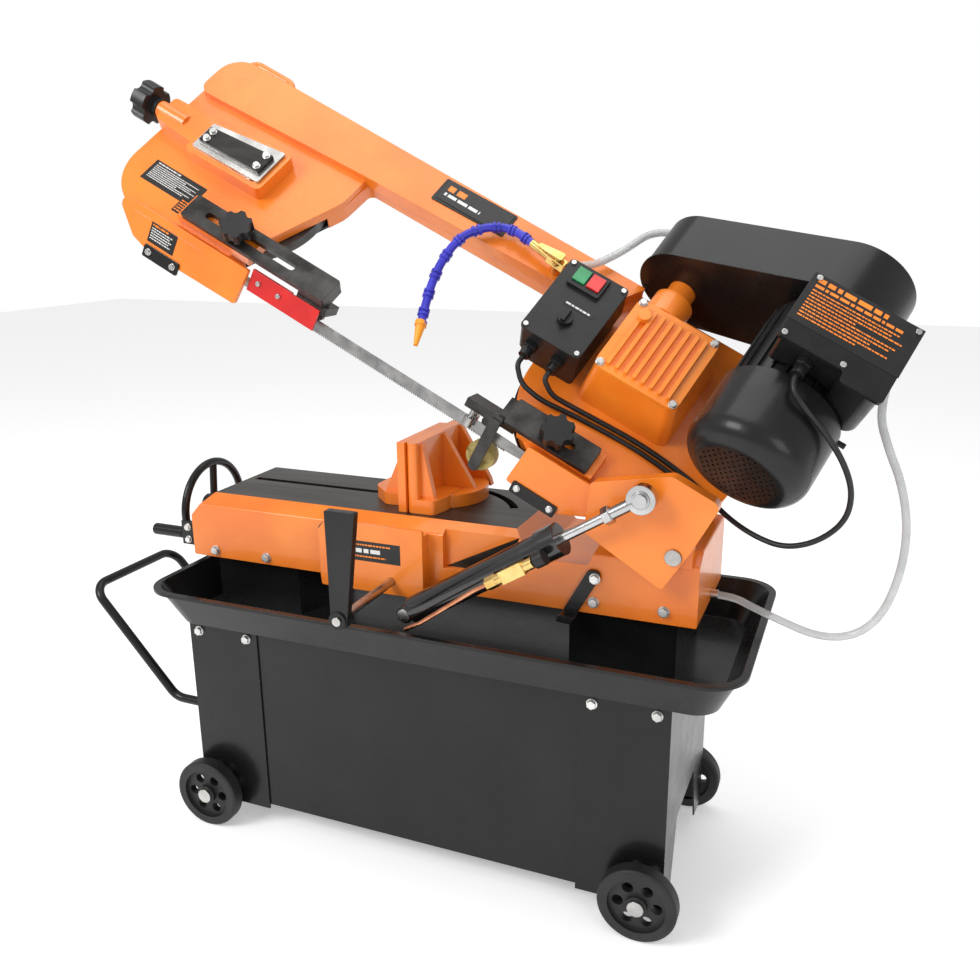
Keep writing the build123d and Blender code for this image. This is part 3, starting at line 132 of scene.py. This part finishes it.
def refinish(name, material, chosen):
    """Gives another finish to the faces whose middles and outward directions pass the test."""
    mesh = nodes[name].data
    mesh.materials.append(material)
    middle = np.empty(len(mesh.polygons) * 3, np.float32)
    normal = np.empty(len(mesh.polygons) * 3, np.float32)
    index = np.empty(len(mesh.polygons), np.int32)
    mesh.polygons.foreach_get("center", middle)
    mesh.polygons.foreach_get("normal", normal)
    mesh.polygons.foreach_get("material_index", index)
    index[chosen(middle.reshape(-1, 3), normal.reshape(-1, 3))] = len(mesh.materials) - 1
    mesh.polygons.foreach_set("material_index", index)


orange = coating("orange_enamel", (0.78, 0.175, 0.010), (0.87, 0.225, 0.017), (0.24, 0.40), 1.0, 0.16, 0.34, coat=0.35)
finish(orange, "bed_casting")
planed = coating("planed_iron", (0.030, 0.025, 0.020), (0.075, 0.063, 0.050), (0.26, 0.42), 3.0, 0.25, metal=0.8,
                 along=(0.12, 1, 1))
top_from, table_end = 0.6125, 0.17
refinish("bed_casting", planed, lambda m, n: (m[:, 2] > top_from) & (n[:, 2] > 0.95) & (m[:, 0] < table_end))
under_top, slot_middle, slot_half, slot_floor = 0.6129, 0.068, 0.0228, 0.51
slot_start, slot_stop = -0.436, -0.02
refinish("bed_casting", planed, lambda m, n: (m[:, 2] > slot_floor) & (m[:, 2] < under_top) & (m[:, 0] < slot_stop)
         & (m[:, 0] > slot_start) & (np.abs(m[:, 1] - slot_middle) < slot_half))
lock_centre, lock_reach, lock_half, lock_floor = (-0.024, -0.014), 0.165, 0.0078, 0.56
refinish("bed_casting", planed, lambda m, n: (m[:, 2] > lock_floor) & (m[:, 2] < under_top) & (np.abs(n[:, 2]) < 0.5)
         & (np.abs(np.hypot(m[:, 0] - lock_centre[0], m[:, 1] - lock_centre[1]) - lock_reach) < lock_half))

# ---- vise ----
# Two orange cast jaws on the table, drawn together by a steel screw with a black cast handwheel.
# The same bright steel goes on the stop rod, the shafts and the blade-tension slide.
finish(orange, "fixed_jaw", "movable_jaw")
steel = coating("bright_steel", (0.36, 0.35, 0.34), (0.58, 0.57, 0.55), (0.20, 0.36), 3.0, 0.10, metal=1)
finish(steel, "vise_screw", "stop_rod", "motor_shaft", "worm_shaft", "idler_slide", "steel_shafts")
black_enamel = coating("black_enamel", (0.006, 0.006, 0.006), (0.011, 0.011, 0.011), (0.20, 0.38), 1.6, 0.14, 0.08,
                       coat=0.10, shine=0.28)
finish(black_enamel, "handwheel", "crank_grip")

# ---- length stop and bolts ----
# Black cast stop arm clamped on a thin rod, and the zinc-plated bolts of the bed, stand and head.
# The head's lock strap and the bracket at the handwheel's end are black sheet; the strap's two bolts stay bright.
finish(black_enamel, "stop_arm")
zinc = coating("zinc_plate", (0.50, 0.50, 0.49), (0.70, 0.69, 0.67), (0.20, 0.34), 4.0, 0.06, metal=1)
finish(zinc, "base_bolts", "head_screws")
strap_low, strap_high = np.array((0.247, -0.092, 0.487)), np.array((0.311, -0.064, 0.573))
refinish("base_bolts", black_enamel, lambda m, n: np.all((m > strap_low) & (m < strap_high), 1)
         & ~((m[:, 0] > 0.2905) & (m[:, 1] > -0.0719) & (m[:, 2] > 0.5095) & (m[:, 2] < 0.5285))
         & ~((m[:, 0] > 0.2935) & (m[:, 1] < -0.0711) & (m[:, 2] > 0.5505) & (m[:, 2] < 0.5695)))
bracket_low, bracket_high = np.array((-0.485, -0.0541, 0.511)), np.array((-0.4495, -0.019, 0.557))
refinish("base_bolts", black_enamel, lambda m, n: np.all((m > bracket_low) & (m < bracket_high), 1))

# ---- stand ----
# Folded steel sheet under smooth black enamel: two bent end legs, panels, tray and two pedestals.
# The tube handle is the same black; the wheels are moulded rubber on steel axles.
sheet = coating("black_sheet", (0.0055, 0.0055, 0.0055), (0.0095, 0.0095, 0.0095), (0.20, 0.34), 0.8, 0.05, 0.05,
                coat=0.08, shine=0.28)
finish(sheet, "stand_legs", "stand_panels", "chip_tray", "pedestals", "transport_handle")
tyre = coating("moulded_rubber", (0.010, 0.010, 0.010), (0.018, 0.018, 0.018), (0.42, 0.62), 2.0, 0.25, shine=0.4)
finish(tyre, "wheel_front_left", "wheel_front_right", "wheel_rear_left", "wheel_rear_right")

# ---- head casting ----
# The bow that carries the band wheels: one iron casting in the same pebbled orange enamel.
# LEVEL places things as they are with the head down; HEAD runs along the bow, across it and out of its plane.
LEVEL = (Matrix.Translation((0.425, 0.050, 0.620)) @ Matrix.Rotation(math.radians(27.5), 4, "Y")
         @ Matrix.Translation((0, 0, -0.620)))
HEAD = LEVEL @ Matrix.Translation((0, -0.118, 0.6165)) @ Matrix.Rotation(math.radians(45), 4, "X")
to_head = np.array(HEAD.inverted())


def in_head(points):
    """Points in the head's frame: each times the inverse of that frame's matrix."""
    return points @ to_head[:3, :3].T + to_head[:3, 3]


finish(orange, "head_casting")
finish(black_enamel, "black_plates")
finish(sheet, "blade_cover")

# ---- band wheels, blade and guides ----
# Iron band wheels, a bright steel blade, and two dark cast arms that carry ball-bearing guides.
# The left arm's guard is red; a brass wire wheel brushes chips from the blade, and each tooth is a small prism.
iron = coating("turned_iron", (0.08, 0.08, 0.08), (0.16, 0.155, 0.15), (0.40, 0.60), 3.0, 0.35, metal=1)
finish(iron, "idler_wheel", "drive_wheel")
blade_steel = coating("blade_steel", (0.24, 0.24, 0.24), (0.40, 0.39, 0.38), (0.24, 0.42), 5.0, 0.10, metal=1)
finish(blade_steel, "blade")
tooth_pitch, tooth_depth, blade_edge, half_blade, blade_plane = 0.0042, 0.0024, 0.60705, 0.00045, -0.118
starts = np.arange(-0.700, -0.300, tooth_pitch)
profile = np.array([(0, 0), (tooth_pitch * 0.96, 0), (tooth_pitch * 0.80, -tooth_depth)])
corners = np.zeros((len(starts), 6, 3))
corners[:, :, 0] = starts[:, None] + np.tile(profile[:, 0], 2)
corners[:, :, 1] = blade_plane + np.repeat((-half_blade, half_blade), 3)
corners[:, :, 2] = blade_edge + np.tile(profile[:, 1], 2)
turn = np.array(LEVEL)
corners = corners.reshape(-1, 3) @ turn[:3, :3].T + turn[:3, 3]
first = np.arange(len(starts))[:, None] * 6
sides = [tuple(f) for part in ((0, 2, 1), (3, 4, 5)) for f in (first + np.array(part)).tolist()]
walls = [tuple(f) for part in ((0, 1, 4, 3), (1, 2, 5, 4), (2, 0, 3, 5)) for f in (first + np.array(part)).tolist()]
teeth_mesh = bpy.data.meshes.new("blade_teeth")
teeth_mesh.from_pydata(corners, [], sides + walls)
teeth_mesh.materials.append(blade_steel)
teeth = bpy.data.objects.new("blade_teeth", teeth_mesh)
scene.collection.objects.link(teeth)
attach(teeth, "head")
guide_iron = coating("guide_iron", (0.022, 0.020, 0.019), (0.070, 0.066, 0.062), (0.28, 0.46), 3.0, 0.20, 0.20,
                     metal=0.7)
finish(guide_iron, "left_guide_arm", "right_guide_arm", "left_guide", "right_guide")
for name, start, height in (("left_guide", -0.1965, 0.9385), ("right_guide", 0.0895, 0.7895)):
    refinish(name, steel, lambda m, n: (m[:, 0] > start) & (m[:, 0] < start + 0.023) & (m[:, 1] < -0.0505)
             & (np.abs(m[:, 2] - height) < 0.0112))
red_enamel = coating("red_enamel", (0.52, 0.006, 0.006), (0.66, 0.012, 0.009), (0.22, 0.34), 2.0, 0.08, coat=0.3)
finish(red_enamel, "blade_guard")
knob = coating("moulded_knob", (0.007, 0.007, 0.007), (0.012, 0.012, 0.012), (0.28, 0.44), 3.0, 0.16, 0.10, shine=0.4)
finish(knob, "left_guide_knob", "right_guide_knob", "tension_knob", "valve_knob")
bristle = coating("brass_wire", (0.26, 0.19, 0.06), (0.60, 0.48, 0.20), (0.36, 0.60), 9.0, 1.0, 0.6, metal=1)
finish(bristle, "chip_brush")

# ---- blade tracking ----
# A blackened steel plate on the casting's pad, with bright bolts and two adjusting screws.
blackened = coating("blackened_steel", (0.018, 0.017, 0.016), (0.050, 0.047, 0.044), (0.24, 0.40), 3.0, 0.14, metal=0.8,
                    along=(0.2, 1, 1))
finish(blackened, "tracking_plate")
pad_face = 0.0612
refinish("tracking_plate", steel, lambda m, n: in_head(m)[:, 2] < pad_face)

# ---- gearbox and belt drive ----
# The worm gearbox is cast with the head's orange; its ribbed lid is a brighter coat.
# Belt, pulleys and their cover sit behind it; the cover is pressed black sheet.
finish(orange, "gearbox")
lid = coating("lid_orange", (0.84, 0.22, 0.012), (0.93, 0.27, 0.020), (0.26, 0.38), 1.4, 0.18, 0.25, coat=0.3)
finish(lid, "gearbox_cover")
finish(sheet, "belt_cover")
rubber = coating("black_rubber", (0.006, 0.006, 0.006), (0.011, 0.011, 0.011), (0.34, 0.50), 4.0, 0.10, shine=0.4)
finish(rubber, "drive_belt")

# ---- motor ----
# Black enamelled motor with a pressed fan cover, its terminal box and cable glands.
# The fan at the near end of its shaft is moulded in black rubber's dull finish.
finish(black_enamel, "motor", "terminal_box", "cable_glands")
fan_end = 0.3
refinish("motor_shaft", rubber, lambda m, n: in_head(m)[:, 1] < fan_end)

# ---- switch box ----
# Black moulded box with a green and a red push button and a rotary switch for the coolant pump.
# Its two short leads are black rubber like the motor's.
finish(knob, "switch_box", "coolant_switch")
green = coating("green_button", (0.008, 0.20, 0.06), (0.015, 0.28, 0.09), (0.20, 0.32), 3.0, 0.03, coat=0.3)
finish(green, "start_button")
red = coating("red_button", (0.58, 0.010, 0.012), (0.70, 0.020, 0.018), (0.20, 0.32), 3.0, 0.03, coat=0.3)
finish(red, "stop_button")
finish(rubber, "switch_leads")

# ---- hydraulic feed ----
# A black cylinder with a chromed rod slows the head's fall.
# Its turned brass valve sits on a bent copper pipe.
gloss_black = coating("gloss_black", (0.006, 0.006, 0.006), (0.010, 0.010, 0.010), (0.12, 0.26), 2.0, 0.04, coat=0.6)
finish(gloss_black, "cylinder_tube")
chrome = coating("chromed_rod", (0.42, 0.42, 0.42), (0.60, 0.60, 0.60), (0.12, 0.22), 2.0, 0.02, metal=1)
finish(chrome, "cylinder_rod")
brass = coating("turned_brass", (0.60, 0.39, 0.12), (0.80, 0.57, 0.22), (0.18, 0.34), 4.0, 0.08, metal=1)
finish(brass, "feed_valve")
copper = coating("drawn_copper", (0.50, 0.19, 0.10), (0.74, 0.33, 0.18), (0.20, 0.36), 4.0, 0.06, metal=1)
finish(copper, "copper_pipe")

# ---- coolant supply ----
# Black pump on a grey tank inside the stand.
# The jointed blue hose has an orange nozzle and starts at a brass valve.
finish(black_enamel, "coolant_unit")
tank = coating("grey_hub", (0.050, 0.050, 0.050), (0.075, 0.075, 0.074), (0.38, 0.52), 2.0, 0.12, shine=0.4)
tank_top = 0.241
refinish("coolant_unit", tank, lambda m, n: m[:, 2] < tank_top)
blue = coating("blue_joints", (0.016, 0.016, 0.36), (0.034, 0.034, 0.50), (0.28, 0.40), 3.0, 0.05, coat=0.1)
nozzle = coating("orange_nozzle", (0.80, 0.26, 0.010), (0.90, 0.34, 0.020), (0.28, 0.40), 3.0, 0.05, coat=0.1)
finish(blue, "coolant_hose")
nozzle_from, valve_from = 0.0835, -0.4488
refinish("coolant_hose", nozzle, lambda m, n: in_head(m)[:, 1] < nozzle_from)
refinish("coolant_hose", brass, lambda m, n: in_head(m)[:, 0] > valve_from)

# ---- hanging lines ----
# The motor's rubber lead hangs in a loop from its terminal box to the switch box's side of the casting.
# The clear vinyl hose climbs from the bed's end, behind the head, to the coolant valve. Points are in millimetres.
LEAD = [(8, 84, 28), (36, 74.4, 31.2), (80, 66, 44), (120, 66, 62), (150, 84, 92), (164, 112, 128), (150, 132, 166),
        (118, 140, 206), (74, 142, 244), (32, 144, 267), (6, 158, 272), (6, 176, 270)]
RISE = [(470, 50, 512), (494, 50, 512), (522, 50, 500), (560, 50, 486), (620, 50, 466), (672, 50, 474), (708, 50, 512),
        (727, 50, 580), (730, 50, 650), (716, 50, 716), (692, 50, 768)]
BEHIND = [(132, 300, 112), (116, 380, 112), (78, 440, 104), (0, 456, 96), (-90, 456, 84), (-180, 452, 72),
          (-262, 446, 62), (-306, 424, 58), (-320, 376, 58), (-334, 338, 60), (-350, 307.7, 62), (-372, 293, 62)]
vinyl = coating("clear_vinyl", (0.62, 0.63, 0.63), (0.74, 0.75, 0.75), (0.12, 0.24), 3.0, 0.03, coat=0.4)
vinyl.node_tree.nodes["Principled BSDF"].inputs["Transmission Weight"].default_value = 0.55
vinyl.node_tree.nodes["Principled BSDF"].inputs["IOR"].default_value = 1.25
for name, points, radius, material, slot, length in (
        ("motor_cord", [HEAD @ (Vector(p) / 1000) for p in LEAD][::-1], 0.004, rubber, "rubber", 0.459),
        ("clear_hose", [Vector(p) / 1000 for p in RISE] + [HEAD @ (Vector(p) / 1000) for p in BEHIND], 0.006, vinyl,
         "clear_plastic", 1.264)):
    curve = bpy.data.curves.new(name + "_line", "CURVE")
    curve.dimensions = "3D"
    line = curve.splines.new("NURBS")
    line.points.add(len(points) - 1)
    for spot, p in zip(line.points, points):
        spot.co = (*p, 1)
    line.order_u = 3
    line.use_endpoint_u = True
    line.resolution_u = 10
    curve.bevel_depth = radius
    curve.bevel_resolution = 5
    curve.use_fill_caps = True
    cord = bpy.data.objects.new(name + "_soft", curve)
    scene.collection.objects.link(cord)
    curve.materials.append(material)
    finish(material, name)
    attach(cord, "head")
    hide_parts(name)

# ---- printed plates ----
# Thin black foil plates: a ground with rows of short dashes where print would be, all flat.
# Dashes have uneven lengths from a fixed seed, and say nothing.
foil = coating("black_foil", (0.008, 0.008, 0.008), (0.012, 0.012, 0.012), (0.30, 0.42), 3.0, 0.02, shine=0.4)
inks = {"white": coating("white_ink", (0.62, 0.62, 0.60), (0.72, 0.72, 0.70), (0.40, 0.50), 3.0, 0.02),
        "orange": coating("orange_ink", (0.82, 0.20, 0.012), (0.92, 0.25, 0.020), (0.36, 0.46), 3.0, 0.02)}
rng = np.random.default_rng(7)


def printed_plate(name, body, place, centre, size, rows):
    """Flat plate 0.4 mm thick; rows are (height from the top, letter height, share filled, ink), in millimetres."""
    half = np.array(size) / 2
    rects = [(-half[0], -half[1], half[0], half[1], 0.4, 0)]
    for drop, tall, share, ink in rows:
        x, y = -half[0] * 0.88, half[1] - drop
        stop = x + 2 * half[0] * 0.88 * share
        while x < stop:
            dash = min(tall * rng.uniform(0.6, 3.2), stop - x)
            if dash > tall * 0.3:
                rects.append((x, y - tall, x + dash, y, 0.5, 1 if ink == "white" else 2))
            x += dash + tall * 0.5
    r = np.array(rects)
    top = np.stack([r[:, [0, 1, 4]], r[:, [2, 1, 4]], r[:, [2, 3, 4]], r[:, [0, 3, 4]]], 1).reshape(-1, 3)
    vertices = np.concatenate([top, top[:4] * (1, 1, 0)]) / 1000
    turn = np.array(place @ Matrix.Translation(Vector(centre) / 1000))
    vertices = vertices @ turn[:3, :3].T + turn[:3, 3]
    n = len(rects)
    faces = [tuple(range(4 * i, 4 * i + 4)) for i in range(n)]
    faces += [(4 * n + i, 4 * n + (i + 1) % 4, (i + 1) % 4, i) for i in range(4)]
    mesh = bpy.data.meshes.new(name)
    mesh.from_pydata(vertices, [], faces)
    for material in (foil, inks["white"], inks["orange"]):
        mesh.materials.append(material)
    index = np.zeros(len(faces), np.int32)
    index[:n] = r[:, 5]
    mesh.polygons.foreach_set("material_index", index)
    plate = bpy.data.objects.new(name, mesh)
    scene.collection.objects.link(plate)
    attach(plate, body)


printed_plate("lobe_plate", "head", HEAD, (-1007, 66, 30), (108, 44), [(3, 2.4, 0.5, "white")]
              + [(5 + 3.6 * i, 1.6, s, "white")
                 for i, s in enumerate((0.96, 0.7, 0.95, 0.86, 0.97, 0.6, 0.92, 0.8), 1)])
printed_plate("lobe_note", "head", HEAD, (-958, 38, 30.0), (34, 30),
              [(4 + 5 * i, 2.2, 0.8, "orange") for i in range(5)])
printed_plate("spine_plate", "head", HEAD, (-570, 308, 44.0), (128, 42),
              [(9, 11, 0.30, "orange"), (25, 6, 0.62, "white")])
printed_plate("terminal_plate", "head", HEAD, (33, 266, 298), (154, 82),
              [(6, 7, 0.72, "orange"), (17, 4.5, 0.9, "orange")]
              + [(26 + 5.4 * i, 2.2, s, "orange")
                 for i, s in enumerate((0.9, 0.84, 0.95, 0.5, 0.92, 0.88, 0.7, 0.9, 0.6))])
printed_plate("switch_plate", "head", HEAD, (-312, 206, 99), (52, 9), [(3, 3, 0.9, "white")])
rim = LEVEL @ Matrix.Translation((0, -0.1471, 0)) @ Matrix.Rotation(math.radians(90), 4, "X")
printed_plate("rim_plate", "head", rim, (-956, 613, 0), (54, 34),
              [(3, 3, 0.7, "orange")] + [(9 + 4.2 * i, 1.8, 0.9 - 0.1 * (i % 2), "white") for i in range(5)])
upright = Matrix.Translation((0, -0.0881, 0)) @ Matrix.Rotation(math.radians(90), 4, "X")
printed_plate("bed_plate", "base", upright, (-74, 560, 0), (112, 34),
              [(5, 2.6, 0.9, "orange"), (13, 7, 0.7, "white"), (25, 2.6, 0.8, "orange")])

# ---- studio ----
# White paper floor under soft light: a broad key from the upper left, a weaker fill and an overhead sheet.
# Past the paper's edge the room is seen as white, though it lights the saw more dimly.
floor_mesh = bpy.data.meshes.new("floor")
floor_mesh.from_pydata([(-9, -6, 0), (9, -6, 0), (9, 9, 0), (-9, 9, 0)], [], [(0, 1, 2, 3)])
floor = bpy.data.objects.new("floor", floor_mesh)
scene.collection.objects.link(floor)
paper = bpy.data.materials.new("paper")
paper.use_nodes = True
paper_shader = paper.node_tree.nodes["Principled BSDF"]
paper_shader.inputs["Base Color"].default_value = (0.92, 0.92, 0.92, 1)
paper_shader.inputs["Roughness"].default_value = 0.9
paper_shader.inputs["Emission Color"].default_value = (1, 1, 1, 1)
paper_shader.inputs["Emission Strength"].default_value = 0.30
floor_mesh.materials.append(paper)
world = bpy.data.worlds.new("studio")
world.use_nodes = True
tree = world.node_tree
sky = tree.nodes["Background"]
sky.inputs["Color"].default_value = (1, 1, 1, 1)
sky.inputs["Strength"].default_value = 0.62
beyond = tree.nodes.new("ShaderNodeBackground")
beyond.inputs["Color"].default_value = (1, 1, 1, 1)
seen = tree.nodes.new("ShaderNodeLightPath")
either = tree.nodes.new("ShaderNodeMixShader")
tree.links.new(seen.outputs["Is Camera Ray"], either.inputs[0])
tree.links.new(sky.outputs[0], either.inputs[1])
tree.links.new(beyond.outputs[0], either.inputs[2])
tree.links.new(either.outputs[0], tree.nodes["World Output"].inputs["Surface"])
scene.world = world
for name, spot, size, power in (("key", (-1.8, -2.6, 2.9), 1.6, 84), ("fill", (2.6, -2.0, 1.6), 1.4, 16),
                                ("top", (0.2, 0.2, 3.2), 2.2, 30)):
    lamp = bpy.data.lights.new(name, "AREA")
    lamp.size = size
    lamp.energy = power
    light = bpy.data.objects.new(name, lamp)
    light.location = spot
    light.rotation_mode = "QUATERNION"
    light.rotation_quaternion = (Vector((0, 0, 0.7)) - Vector(spot)).to_track_quat("-Z", "Y")
    scene.collection.objects.link(light)
scene.view_settings.view_transform = "Standard"

# ---- camera ----
# Stands at the operator's right, a little above the motor, looking left and down.
azimuth, pitch, roll = math.radians(22.31), math.radians(16.157), math.radians(-0.416)
forward = Vector((-math.sin(azimuth) * math.cos(pitch), math.cos(azimuth) * math.cos(pitch), -math.sin(pitch)))
side = forward.cross(Vector((0, 0, 1))).normalized()
right = side * math.cos(roll) + side.cross(forward) * math.sin(roll)
facing = Matrix((right, right.cross(forward), -forward)).transposed().to_4x4()
camera = bpy.data.objects.new("camera", bpy.data.cameras.new("camera"))
camera.matrix_world = Matrix.Translation((0.6703, -1.3807, 1.0921)) @ facing
camera.data.lens = 35.19
camera.data.clip_start = 0.02
scene.collection.objects.link(camera)
scene.camera = camera
